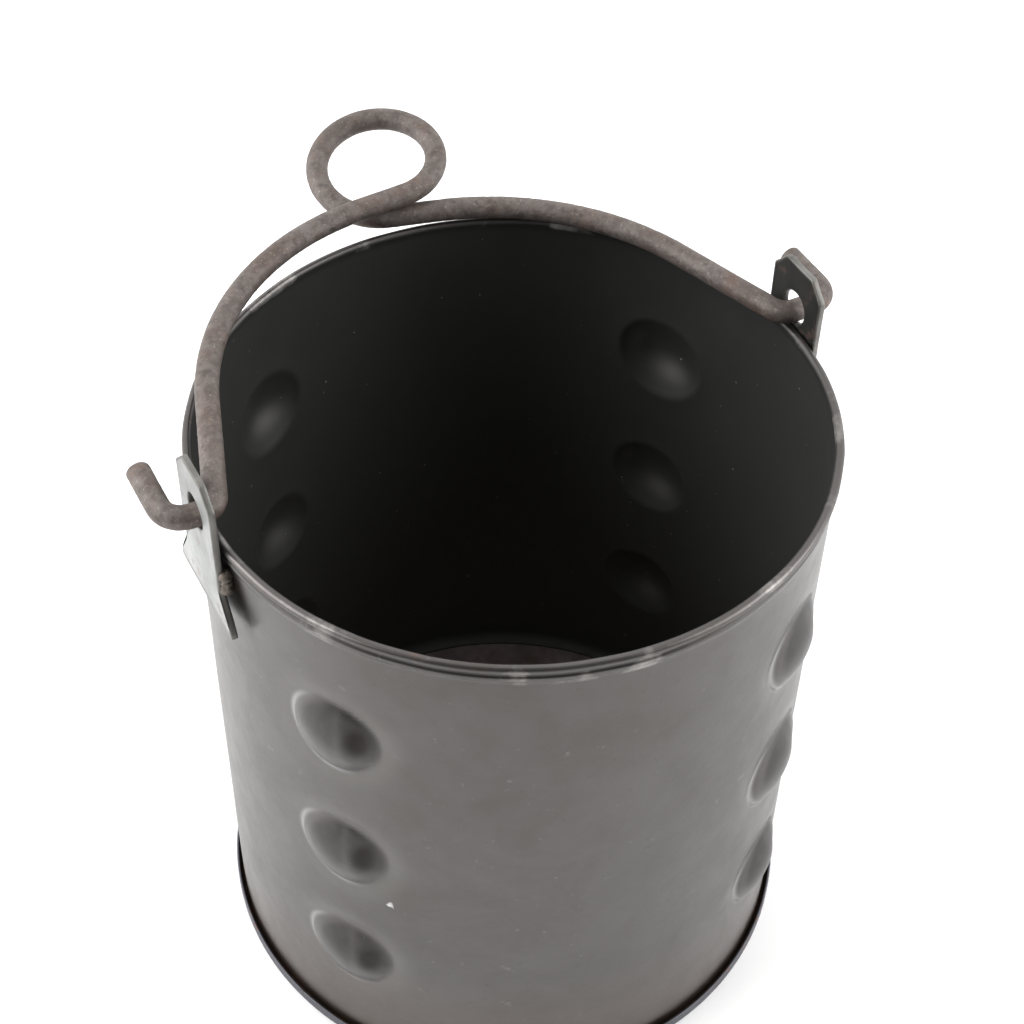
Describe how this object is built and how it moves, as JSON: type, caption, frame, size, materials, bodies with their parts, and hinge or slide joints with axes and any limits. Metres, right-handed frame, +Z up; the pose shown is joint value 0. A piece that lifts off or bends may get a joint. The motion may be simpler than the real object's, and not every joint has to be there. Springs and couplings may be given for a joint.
{
  "type": "charcoal starter pail",
  "caption": "Small round sheet-steel charcoal pail with punched dimples, a curled rim, two hole lugs and a folding wire bail with a hanging eye.",
  "frame": {"origin": "centre of the underside of the base pan", "axes": "+Z up out of the mouth, X along the bail's hinge axis through both lugs, +Y to the side where the bail lies folded"},
  "size_m": [0.1295, 0.1368, 0.1325],
  "materials": {
    "sheet_steel": "satin, heat-darkened",
    "base_steel": "satin with rust in the seam",
    "lug_steel": "satin, worn at the edges",
    "weld_metal": "dull, oxidised",
    "bail_wire": "matte, brown rust bloom"
  },
  "bodies": {
    "pail": {"wall": "sheet_steel", "base_pan": "base_steel", "right_lug": "lug_steel", "left_lug": "lug_steel", "right_lug_welds": "weld_metal", "left_lug_welds": "weld_metal"},
    "bail": {"bail": "bail_wire"}
  },
  "joints": [
    {"name": "bail_swing", "type": "hinge", "parent": "pail", "child": "bail", "pos_m": [0, 0, 0.1229], "axis": [1, 0, 0], "range_deg": [0, 175]}
  ]
}
